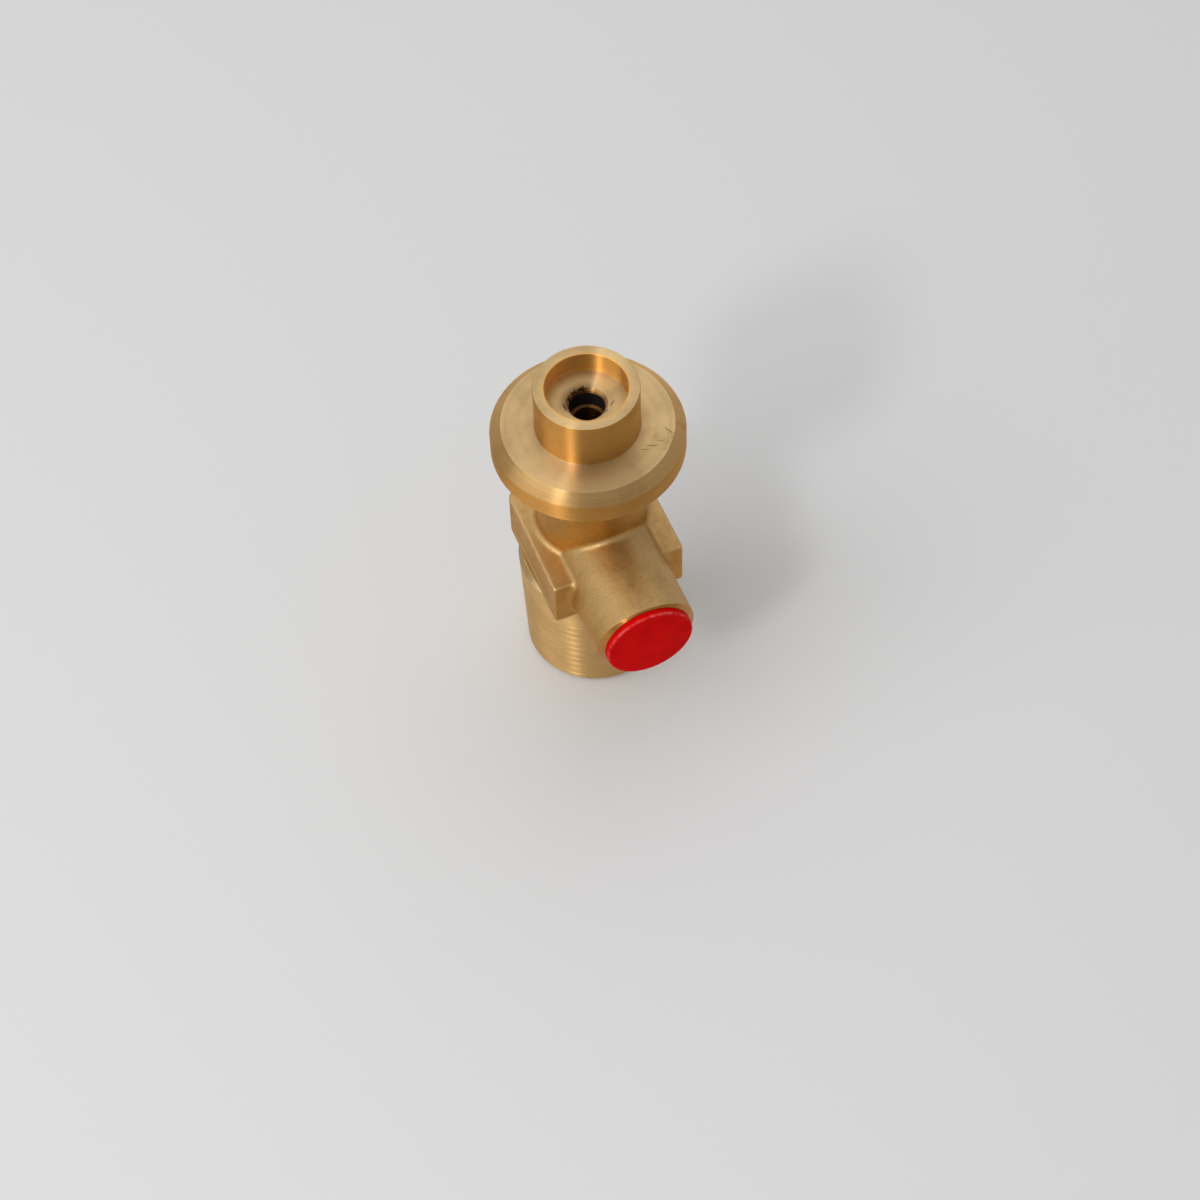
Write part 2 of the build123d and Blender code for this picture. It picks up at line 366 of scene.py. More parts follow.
@dataclass(frozen=True)
class ForgedBrass:
    """Shot-blasted forging: fine grain, soft stains and thin rubbed edges, with painted light: paler tops,
    deeper sides and painted glints.
    """

    name: str = "forged_brass"
    # painted light: a paler tone for faces that look up and a deeper one for upright faces
    lit_top: Colour = tone(212, 175, 117)
    shaded_side: Colour = tone(190, 139, 66)
    stain: Colour = tone(126, 90, 44)
    # pale brass of rubbed edges, also used for the painted glints in the grain
    rubbed: Colour = tone(236, 200, 142)
    lit_top_share: Ramp = Ramp(0.1, 0.8)
    grain: Grain = Grain(3600, 2, 0.6)
    grain_depth: float = 0.000024
    grain_glints: Ramp = Ramp(0.54, 0.68, 0.0, 0.24)
    grain_glint_shade: Ramp = Ramp(0.32, 0.46, 0.24, 0.0)
    pits: Grain = Grain(1700, 2, 0.5)
    pit_edge: Ramp = Ramp(0.30, 0.42)
    pit_tone: Ramp = Ramp(0.0, 1.0, 0.1, 0.0)
    pit_depth: float = 0.00001
    clouds: Grain = Grain(140, 4, 0.6)
    cloud_tone: Ramp = Ramp(0.42, 0.75, 0.0, 0.22)
    spots: Grain = Grain(900, 3, 0.6)
    spot_tone: Ramp = Ramp(0.56, 0.78, 0.0, 0.2)
    wear: Grain = Grain(700, 3, 0.6)
    wear_share: Ramp = Ramp(0.3, 0.6, 0.35, 1.0)
    wear_polish: float = 0.16
    sheen: Grain = Grain(420, 3, 0.6)
    roughness: Ramp = Ramp(0.3, 0.7, 0.46, 0.58)

    def material(self) -> Material:
        """Build the material.

        Returns:
            The forged brass material.
        """
        t = ShaderTree(self.name)
        grain = t.noise(self.grain)
        pit = t.patches(self.pits, self.pit_edge)
        # painted light: tops are paler and upright faces deeper, by how squarely they look up, standing in
        # for sky reflection
        colour = t.blend(t.span(t.facing("Z"), self.lit_top_share), self.shaded_side, self.lit_top)
        colour = t.blend(t.patches(self.clouds, self.cloud_tone), colour, self.stain)
        colour = t.blend(t.patches(self.spots, self.spot_tone), colour, self.stain)
        colour = t.blend(t.span(pit, self.pit_tone), colour, self.stain)
        # painted glints: the grain's brightest specks are painted pale and its darkest painted dark, as
        # sparkle
        colour = t.blend(t.span(grain, self.grain_glints), colour, self.rubbed)
        colour = t.blend(t.span(grain, self.grain_glint_shade), colour, self.stain)
        worn = t.times(t.attribute(WEAR), t.patches(self.wear, self.wear_share))
        t.set("Base Color", t.blend(worn, colour, self.rubbed))
        t.set("Metallic", 1.0)
        rough = t.patches(self.sheen, self.roughness)
        t.set("Roughness", t.minus(rough, t.times(worn, self.wear_polish)))
        coarse = t.bump(pit, self.pit_depth)
        t.set("Normal", t.bump(grain, self.grain_depth, coarse))
        return t.material


@dataclass(frozen=True)
class Skin:
    """What a turned finish has worked out so far, for marks to be laid on."""

    colour: Socket
    rough: Socket
    across: Socket
    along: Socket
    dent: Socket | None = None


@dataclass(frozen=True)
class Stroke:
    """A straight scratch on a level face, in millimetres, with shares for where it tapers."""

    start: Point
    end: Point
    width: float
    rag: Grain = Grain(1400, 3, 0.6)
    rag_widths: float = 2.0
    core_share: float = 0.2
    head_share: float = 0.3
    tail_share: float = 0.6

    def depth(self, t: ShaderTree, x: Socket, y: Socket) -> Socket:
        """How far into the stroke a place lies.

        Args:
            t: The tree.
            x: Place across.
            y: Place along the boss's line.

        Returns:
            The depth, 0 outside to 1 along the middle.
        """
        reach = math.dist(self.start, self.end) * MM
        width = self.width * MM
        ahead = [(b - a) * MM / reach for a, b in zip(self.start, self.end)]
        east = t.minus(x, self.start[0] * MM)
        north = t.minus(y, self.start[1] * MM)
        along = t.plus(t.times(east, ahead[0]), t.times(north, ahead[1]))
        aside = t.minus(t.times(east, ahead[1]), t.times(north, ahead[0]))
        off = t.math("ABSOLUTE", t.plus(aside, t.sway(self.rag, width * self.rag_widths)))
        head = t.span(along, Ramp(0.0, reach * self.head_share))
        tail = t.span(along, Ramp(reach * self.tail_share, reach, 1.0, 0.0))
        middle = t.span(off, Ramp(width * self.core_share, width, 1.0, 0.0))
        return t.times(middle, t.times(head, tail))


@dataclass(frozen=True)
class TurnedBrass:
    """Lathe-turned brass: fine tool rings, a painted shading tone on faces square to the axis, with
    highlights drawn across the rings.
    """

    name: str
    axis: str = "Z"
    offset: float = 0.0
    # painted shading: tone of the faces square to the axis, standing in for the light they catch; the sides
    # keep the turned tone
    square_face_shading: Colour = tone(218, 187, 135)
    turned: Colour = tone(208, 152, 78)
    stain: Colour = tone(150, 108, 58)
    square_face_shading_share: Ramp = Ramp(0.1, 0.8)
    feed_slope: float = 0.37
    rings_per_metre: float = 9000
    ring_octaves: float = 3
    ring_depth: float = 0.000008
    ring_tone: Ramp = Ramp(0.4, 0.75, 0.0, 0.22)
    rings_per_band: float = 14
    band_octaves: float = 2
    band_weight: float = 0.6
    clouds: Grain = Grain(160, 3, 0.6)
    cloud_weight: float = 0.4
    cloud_tone: Ramp = Ramp(0.4, 0.75, 0.0, 0.22)
    tarnish: Grain = Grain(1100, 4, 0.7)
    tarnish_tone: Ramp = Ramp(0.62, 0.78, 0.0, 0.4)
    roughness: Ramp = Ramp(0.3, 0.7, 0.42, 0.50)
    level_share: Ramp = Ramp(0.85, 0.98)
    level_polish: float = 0.12
    brushed: float = 1.0
    brush_turn: float = 0.25
    dent_depth: float = -0.00003

    def material(self) -> Material:
        """Build the material.

        Returns:
            The turned brass material.
        """
        t = ShaderTree(self.name)
        x, y, z = t.axes()
        if self.axis == "Z":
            across, along = t.radius(x, y), z
        else:
            across, along = t.radius(x, t.minus(z, self.offset)), y
        feed = t.plus(across, t.times(along, self.feed_slope))
        ring = t.rings(feed, self.rings_per_metre, self.ring_octaves)
        band = t.rings(feed, self.rings_per_metre / self.rings_per_band, self.band_octaves)
        cloud = t.noise(self.clouds)
        facing = t.facing(self.axis)
        # painted light: faces square to the axis take their own tone, on most pieces paler than the sides as
        # painted sky reflection
        colour = t.blend(t.span(facing, self.square_face_shading_share), self.turned, self.square_face_shading)
        colour = t.blend(t.span(cloud, self.cloud_tone), colour, self.stain)
        colour = t.blend(t.span(ring, self.ring_tone), colour, self.stain)
        colour = t.blend(t.patches(self.tarnish, self.tarnish_tone), colour, self.stain)
        uneven = t.plus(t.times(band, self.band_weight), t.times(cloud, self.cloud_weight))
        polish = t.times(t.span(facing, self.level_share), self.level_polish)
        rough = t.minus(t.span(uneven, self.roughness), polish)
        skin = self.marked(t, Skin(colour, rough, across, along))
        t.set("Base Color", skin.colour)
        t.set("Metallic", 1.0)
        t.set("Roughness", skin.rough)
        t.set("Anisotropic", self.brushed)
        t.set("Anisotropic Rotation", self.brush_turn)
        t.set("Tangent", t.radial_tangent(self.axis))
        normal = t.bump(ring, self.ring_depth)
        t.set("Normal", normal if skin.dent is None else t.bump(skin.dent, self.dent_depth, normal))
        return t.material

    def marked(self, t: ShaderTree, skin: Skin) -> Skin:
        """Lay marks of use on the turned skin; plain turned brass has none.

        Args:
            t: The tree.
            skin: The skin as turned.

        Returns:
            The skin with its marks.
        """
        return skin


@dataclass(frozen=True)
class HeadBrass(TurnedBrass):
    """The head's turned brass: rubber marks round the hole, a scratched flange, and painted shade and light
    in the bore and the passage.
    """

    name: str = "turned_head"
    # the painted level-face tone is kept off the flange's chamfer
    square_face_shading_share: Ramp = Ramp(0.45, 0.95)
    soot: Colour = tone(22, 18, 14)
    film: Colour = tone(96, 62, 22)
    # painted shade and painted reflection of the bore wall on the floor's back side
    shade: Colour = tone(186, 130, 56)
    # painted shade for the narrow passage, also used on the poppet's stem
    passage_shade: Colour = tone(40, 26, 12)
    ledge_shade: Colour = tone(186, 116, 40)
    # painted light: a brighter golden tone for the bore's wall
    bore: Colour = tone(238, 178, 92)
    smudge_low: float = 0.0676
    smudge_high: float = 0.0693
    smudge_start: float = 0.0033
    smudge_end: float = 0.0054
    smudge_side: Point = (-0.40, 0.92)
    shade_rim: Ramp = Ramp(0.0052, 0.0074)
    shade_side: Ramp = Ramp(-0.2, 0.9, 0.0, 0.6)
    film_rag: Grain = Grain(900, 4, 0.6)
    film_sway: float = 0.9
    film_side: Ramp = Ramp(0.1, 0.95, 0.08, 0.8)
    soot_side: Ramp = Ramp(0.35, 0.95, 0.2, 1.0)
    soot_specks: Grain = Grain(1900, 3, 0.6)
    soot_sway: float = 2.2
    soot_share: Ramp = Ramp(0.75, 1.15, 0.0, 0.85)
    soot_rough: float = 0.3
    ledge_shade_share: float = 0.75
    passage_radius: float = 0.00322
    passage_shade_depth: Ramp = Ramp(0.0643, 0.0649, 0.92, 0.3)
    bore_radius: float = 0.0077
    bore_floor: float = 0.0692
    bore_light_share: float = 0.85
    flange_top: float = 0.0634
    chips: Point = (0.0118, -0.0095)
    chip_region: Ramp = Ramp(0.00126, 0.0042, 1.0, 0.0)
    chip_grain: Grain = Grain(1700, 2, 0.5)
    chip_edge: Ramp = Ramp(0.60, 0.68, 0.0, 0.7)
    dent_share: float = 0.7
    rubbing_share: float = 0.75
    scratches: tuple[Stroke, ...] = (
        Stroke((11.9, -5.9), (13.2, -8.8), 0.16),
        Stroke((9.4, -8.6), (11.2, -9.0), 0.1),
        Stroke((7.1, -8.8), (9.9, -9.7), 0.12),
        Stroke((6.1, -9.2), (7.8, -9.9), 0.1),
    )
    rubbings: tuple[Stroke, ...] = (
        Stroke((4.8, -1.2), (3.3, -2.1), 0.14),
        Stroke((3.1, -2.5), (2.0, -3.2), 0.12),
        Stroke((-3.8, 2.0), (-4.0, -0.5), 0.18),
    )

    def marked(self, t: ShaderTree, skin: Skin) -> Skin:
        """Lay the head's marks.

        Args:
            t: The tree.
            skin: The skin as turned.

        Returns:
            The skin with its marks.
        """
        x, y, z = t.axes()
        colour, soot = self._bore_floor(t, skin, x, y)
        # painted shade: the ledge under the gasket and the hole below it take a deeper golden tone, down in
        # the hole
        lip = t.times(t.below(z, self.smudge_low), t.below(skin.across, self.smudge_end))
        colour = t.blend(t.times(lip, self.ledge_shade_share), colour, self.ledge_shade)
        # painted shade: the passage below the gasket is painted dark, darkest at the bottom of the narrow
        # hole
        passage = t.below(skin.across, self.passage_radius)
        colour = t.blend(t.times(passage, t.span(z, self.passage_shade_depth)), colour, self.passage_shade)
        # painted light: the bore's wall is painted brighter and more golden than the rest, standing in for
        # the light the brass round it reflects
        wall = t.times(t.below(skin.across, self.bore_radius), t.above(z, self.bore_floor))
        colour = t.blend(t.times(wall, self.bore_light_share), colour, self.bore)
        off = t.radius(t.minus(x, self.chips[0]), t.minus(y, self.chips[1]))
        chip = t.times(t.span(off, self.chip_region), t.patches(self.chip_grain, self.chip_edge))
        deepest = t.math("MAXIMUM", self._deepest(t, self.scratches, x, y), chip)
        dent = t.times(t.above(z, self.flange_top), deepest)
        colour = t.blend(t.times(dent, self.dent_share), colour, self.stain)
        rough = t.plus(skin.rough, t.times(soot, self.soot_rough))
        return Skin(colour, rough, skin.across, skin.along, dent)

    def _deepest(self, t: ShaderTree, strokes: Sequence[Stroke], x: Socket, y: Socket) -> Socket:
        """Join several strokes, the deepest one counting where they cross.

        Args:
            t: The tree.
            strokes: The strokes.
            x: Place across.
            y: Place along the boss's line.

        Returns:
            The depth, 0 to 1.
        """
        depth = strokes[0].depth(t, x, y)
        for stroke in strokes[1:]:
            depth = t.math("MAXIMUM", depth, stroke.depth(t, x, y))
        return depth

    def _bore_floor(self, t: ShaderTree, skin: Skin, x: Socket, y: Socket) -> tuple[Socket, Socket]:
        """Painted shade and reflection of the wall at the floor's back edge, with brown film, rubber specks
        and rubbings round the hole, heaviest on one side.

        Args:
            t: The tree.
            skin: The skin as turned.
            x: Place across.
            y: Place along the boss's line.

        Returns:
            The colour with the marks, and how much soot there is, 0 to 1.
        """
        floor = t.times(t.above(skin.along, self.smudge_low), t.below(skin.along, self.smudge_high))
        near = t.span(skin.across, Ramp(self.smudge_start, self.smudge_end, 1.0, 0.0))
        lean = t.plus(t.times(x, self.smudge_side[0]), t.times(y, self.smudge_side[1]))
        side = t.math("DIVIDE", lean, skin.across)
        # painted shade and painted reflection of the bore wall: the floor darkens towards the wall on the
        # back-left side
        shade = t.times(t.span(skin.across, self.shade_rim), t.span(side, self.shade_side))
        colour = t.blend(t.times(floor, shade), skin.colour, self.shade)
        ragged = t.plus(side, t.sway(self.film_rag, self.film_sway))
        film = t.times(near, t.span(ragged, self.film_side))
        colour = t.blend(t.times(floor, film), colour, self.film)
        heavy = t.times(near, t.span(side, self.soot_side))
        speck = t.plus(heavy, t.sway(self.soot_specks, self.soot_sway))
        rubbing = t.times(self._deepest(t, self.rubbings, x, y), self.rubbing_share)
        soot = t.times(floor, t.math("MAXIMUM", t.span(speck, self.soot_share), rubbing))
        return t.blend(soot, colour, self.soot), soot


@dataclass(frozen=True)
class SpindleBrass(TurnedBrass):
    """Turned brass of the poppet and its retainer, with painted shade up in the passage."""

    name: str = "turned_spindle"
    rings_per_metre: float = 7000
    passage_shade: Colour = tone(46, 30, 14)
    passage_shade_rise: Ramp = Ramp(0.046, 0.052, 0.0, 0.9)
    passage_rough: float = 0.2

    def marked(self, t: ShaderTree, skin: Skin) -> Skin:
        """Paint shade on the stem up in the passage.

        Args:
            t: The tree.
            skin: The skin as turned.

        Returns:
            The skin with its painted shade.
        """
        # painted shade: the stem is painted dark, and made rougher, where it reaches up into the narrow
        # passage
        deep = t.span(skin.along, self.passage_shade_rise)
        rough = t.plus(skin.rough, t.times(deep, self.passage_rough))
        return Skin(t.blend(deep, skin.colour, self.passage_shade), rough, skin.across, skin.along)


@dataclass(frozen=True)
class BlackRubber:
    """Moulded black rubber with a faint bloom."""

    name: str = "black_rubber"
    base: Colour = tone(22, 22, 23)
    bloom: Colour = tone(46, 45, 44)
    bloom_grain: Grain = Grain(800, 4, 0.6)
    bloom_share: Ramp = Ramp(0.45, 0.75, 0.0, 0.6)
    sheen: Grain = Grain(1500, 3, 0.5)
    roughness: Ramp = Ramp(0.3, 0.7, 0.52, 0.7)
    specular: float = 0.4
    pores: Grain = Grain(5200, 3, 0.6)
    pore_depth: float = 0.00002

    def material(self) -> Material:
        """Build the material.

        Returns:
            The rubber material.
        """
        t = ShaderTree(self.name)
        t.set("Base Color", t.blend(t.patches(self.bloom_grain, self.bloom_share), self.base, self.bloom))
        t.set("Roughness", t.patches(self.sheen, self.roughness))
        t.set("Specular IOR Level", self.specular)
        t.set("Normal", t.bump(t.noise(self.pores), self.pore_depth))
        return t.material


@dataclass(frozen=True)
class SpringSteel:
    """Drawn spring wire with fine lines."""

    name: str = "spring_steel"
    base: Colour = tone(172, 172, 174)
    dark: Colour = tone(104, 103, 104)
    lines: Grain = Grain(2600, 4, 0.7)
    line_tone: Ramp = Ramp(0.4, 0.75, 0.0, 0.8)
    line_depth: float = 0.000015
    sheen: Grain = Grain(700, 3, 0.6)
    roughness: Ramp = Ramp(0.3, 0.7, 0.24, 0.4)

    def material(self) -> Material:
        """Build the material.

        Returns:
            The wire's material.
        """
        t = ShaderTree(self.name)
        lines = t.noise(self.lines)
        t.set("Base Color", t.blend(t.span(lines, self.line_tone), self.base, self.dark))
        t.set("Metallic", 1.0)
        t.set("Roughness", t.patches(self.sheen, self.roughness))
        t.set("Normal", t.bump(lines, self.line_depth))
        return t.material


@dataclass(frozen=True)
class RedPlastic:
    """Moulded red plastic with a satin skin and a pale, ragged line where its edge has rubbed."""

    name: str = "red_plastic"
    base: Colour = tone(216, 3, 4)
    deep: Colour = tone(198, 1, 2)
    rubbed: Colour = tone(226, 96, 92)
    clouds: Grain = Grain(260, 3, 0.6)
    cloud_share: Ramp = Ramp(0.35, 0.7)
    scuffs: Grain = Grain(1900, 4, 0.7)
    scuff_tone: Ramp = Ramp(0.66, 0.82, 0.0, 0.22)
    outer_edge: Ramp = Ramp(0.00775, 0.00815)
    front_edge: Ramp = Ramp(0.02775, 0.02815)
    edge_rag: Grain = Grain(620, 4, 0.7)
    edge_tone: Ramp = Ramp(0.38, 0.62, 0.1, 0.75)
    sheen: Grain = Grain(900, 3, 0.6)
    roughness: Ramp = Ramp(0.3, 0.7, 0.44, 0.56)
    specular: float = 0.02
    glow: float = 0.04
    glow_reach: float = 0.001
    waves: Grain = Grain(420, 2, 0.5)
    wave_depth: float = 0.00004
    pores: Grain = Grain(3600, 3, 0.6)
    pore_depth: float = 0.00001

    def material(self) -> Material:
        """Build the material.

        Returns:
            The cap's material.
        """
        t = ShaderTree(self.name)
        x, y, z = t.axes()
        colour = t.blend(t.patches(self.clouds, self.cloud_share), self.base, self.deep)
        colour = t.blend(t.patches(self.scuffs, self.scuff_tone), colour, self.rubbed)
        across = t.radius(x, t.minus(z, BOSS_AXIS * MM))
        outer = t.span(across, self.outer_edge)
        front = t.span(t.times(y, -1.0), self.front_edge)
        ragged = t.patches(self.edge_rag, self.edge_tone)
        t.set("Base Color", t.blend(t.times(outer, front, ragged), colour, self.rubbed))
        t.set("Roughness", t.patches(self.sheen, self.roughness))
        t.set("Specular IOR Level", self.specular)
        t.set("Subsurface Weight", self.glow)
        t.set("Subsurface Scale", self.glow_reach)
        coarse = t.bump(t.noise(self.waves), self.wave_depth)
        t.set("Normal", t.bump(t.noise(self.pores), self.pore_depth, coarse))
        return t.material


def rounded(corners: Sequence[Corner], steps: int = 5) -> list[Point]:
    """Round the corners of a closed half section.

    Args:
        corners: (radius, height, rounding) of each corner, in order.
        steps: Straight pieces in each rounding.

    Returns:
        The section's points.
    """
    points: list[Point] = []
    count = len(corners)
    for index, (radius, height, size) in enumerate(corners):
        here = Vector((radius, height))
        if size == 0:
            points.append((radius, height))
            continue
        back = (Vector(corners[index - 1][:2]) - here).normalized()
        ahead = (Vector(corners[(index + 1) % count][:2]) - here).normalized()
        half = back.angle(ahead) / 2
        reach = size / math.tan(half)
        centre = here + (back + ahead).normalized() * (size / math.sin(half))
        start = here + back * reach - centre
        end = here + ahead * reach - centre
        for step in range(steps + 1):
            spoke = start.lerp(end, step / steps).normalized() * size
            points.append(tuple(centre + spoke))
    return points


def finish_mesh(name: str, mesh: bmesh.types.BMesh, smooth_angle: float = 35) -> Piece:
    """Turn a working mesh into a shaded object at the origin.

    Args:
        name: The piece's name.
        mesh: The working mesh, which is freed.
        smooth_angle: Edges sharper than this many degrees stay hard.

    Returns:
        The new object.
    """
    bmesh.ops.remove_doubles(mesh, verts=mesh.verts, dist=DOUBLE_GAP)
    bmesh.ops.recalc_face_normals(mesh, faces=mesh.faces)
    for face in mesh.faces:
        face.smooth = True
    limit = math.radians(smooth_angle)
    for edge in mesh.edges:
        edge.smooth = len(edge.link_faces) == 2 and edge.calc_face_angle(0.0) < limit
    data = bpy.data.meshes.new(name)
    mesh.to_mesh(data)
    mesh.free()
    piece = bpy.data.objects.new(name, data)
    bpy.context.scene.collection.objects.link(piece)
    return piece


def dress(piece: Piece, material: Material) -> None:
    """Give a piece one material.

    Args:
        piece: The piece.
        material: Its material.
    """
    piece.data.materials.clear()
    piece.data.materials.append(material)


def settle(piece: Piece, body: str) -> None:
    """Put a finished piece on its body, and report it.

    Args:
        piece: The finished piece.
        body: The body it moves with.
    """
    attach(piece, body)
    log.info("%s: %d faces on %s", piece.name, len(piece.data.polygons), body)


@dataclass
class Lathe:
    """Makes turned pieces from half sections, about the body's axis or the relief boss's."""

    axis: TurningAxis
    segments: int = 160

    def turn(self, name: str, section: Section, closed: bool = True) -> Piece:
        """Turn a half section into a piece.

        Args:
            name: The piece's name.
            section: Gives the (radius, height or station, rounding) corners at an angle, in millimetres.
            closed: Whether the last corner joins the first.

        Returns:
            The piece.
        """
        mesh = bmesh.new()
        loops = []
        for step in range(self.segments):
            angle = 2 * math.pi * step / self.segments
            points = rounded(section(angle))
            loops.append([mesh.verts.new(self._place(radius, along, angle)) for radius, along in points])
        size = len(loops[0])
        for step in range(self.segments):
            here, there = loops[step], loops[(step + 1) % self.segments]
            for index in range(size if closed else size - 1):
                follow = (index + 1) % size
                mesh.faces.new((here[index], there[index], there[follow], here[follow]))
        bmesh.ops.remove_doubles(mesh, verts=mesh.verts, dist=DOUBLE_GAP)
        bmesh.ops.dissolve_degenerate(mesh, edges=mesh.edges, dist=SLIVER_GAP)
        return finish_mesh(name, mesh)

    def _place(self, radius: float, along: float, angle: float) -> Vector:
        """Place one point of the section.

        Args:
            radius: Distance from the axis, in millimetres.
            along: Height or station, in millimetres.
            angle: Turn about the axis.

        Returns:
            The point, in metres.
        """
        side, rise = radius * math.cos(angle), radius * math.sin(angle)
        if self.axis is TurningAxis.BODY:
            return Vector((side, rise, along)) * MM
        return Vector((side, -along, BOSS_AXIS + rise)) * MM


def steady(corners: Sequence[Corner]) -> Section:
    """A section that is the same at every angle.

    Args:
        corners: The section's corners.

    Returns:
        The section as a function of the angle.
    """
    return lambda angle: corners


def weld(name: str, parts: Sequence[Piece]) -> Piece:
    """Join pieces whose rims meet into one closed piece.

    Args:
        name: The joined piece's name.
        parts: The pieces, which are removed.

    Returns:
        The joined piece.
    """
    mesh = bmesh.new()
    for part in parts:
        mesh.from_mesh(part.data)
        bpy.data.objects.remove(part)
    bmesh.ops.remove_doubles(mesh, verts=mesh.verts, dist=WELD_GAP)
    return finish_mesh(name, mesh, smooth_angle=40)


class NodeRecipe(NodeTree):
    """A Geometry Nodes tree with short calls, and the way to bake it to a plain mesh."""

    def __init__(self, name: str, sizes: dict[str, float]) -> None:
        """Start a tree with one named input for each size.

        Args:
            name: The tree's name.
            sizes: Each input's name and value.
        """
        self.sizes = sizes
        self.tree = bpy.data.node_groups.new(name, "GeometryNodeTree")
        self.identifiers: dict[str, str] = {}
        for label in sizes:
            socket = self.tree.interface.new_socket(label, in_out="INPUT", socket_type="NodeSocketFloat")
            self.identifiers[label] = socket.identifier
        self.tree.interface.new_socket("Geometry", in_out="OUTPUT", socket_type="NodeSocketGeometry")
        self.inputs = self.tree.nodes.new("NodeGroupInput")
        self.output = self.tree.nodes.new("NodeGroupOutput")

    def size(self, label: str) -> Socket:
        """The socket of a named input."""
        return self.inputs.outputs[label]

    def node(self, kind: str, **links: object) -> bpy.types.Node:
        """Add a node and feed its inputs by name.

        Args:
            kind: The node's type.
            **links: Input names, with underscores for spaces, and values or sockets.

        Returns:
            The node.
        """
        node = self.tree.nodes.new(kind)
        for label, value in links.items():
            self.feed(node.inputs[label.replace("_", " ")], value)
        return node

    def bake(self, name: str, result: Socket, material: Material) -> Piece:
        """End the tree, run it, and keep its result as a plain mesh.

        Args:
            name: The piece's name.
            result: The geometry to keep.
            material: The material the tree sets.

        Returns:
            The piece.
        """
        realize = self.node("GeometryNodeRealizeInstances", Geometry=result)
        dressed = self.node("GeometryNodeSetMaterial", Geometry=realize.outputs[0])
        dressed.inputs["Material"].default_value = material
        self.tree.links.new(dressed.outputs[0], self.output.inputs["Geometry"])
        carrier = bpy.data.objects.new(name + "_carrier", bpy.data.meshes.new(name + "_carrier"))
        bpy.context.scene.collection.objects.link(carrier)
        modifier = carrier.modifiers.new("recipe", "NODES")
        modifier.node_group = self.tree
        for label, value in self.sizes.items():
            modifier[self.identifiers[label]] = float(value)
        graph = bpy.context.evaluated_depsgraph_get()
        data = bpy.data.meshes.new_from_object(carrier.evaluated_get(graph))
        bpy.data.objects.remove(carrier)
        mesh = bmesh.new()
        mesh.from_mesh(data)
        bpy.data.meshes.remove(data)
        piece = finish_mesh(name, mesh, smooth_angle=50)
        dress(piece, material)
        return piece


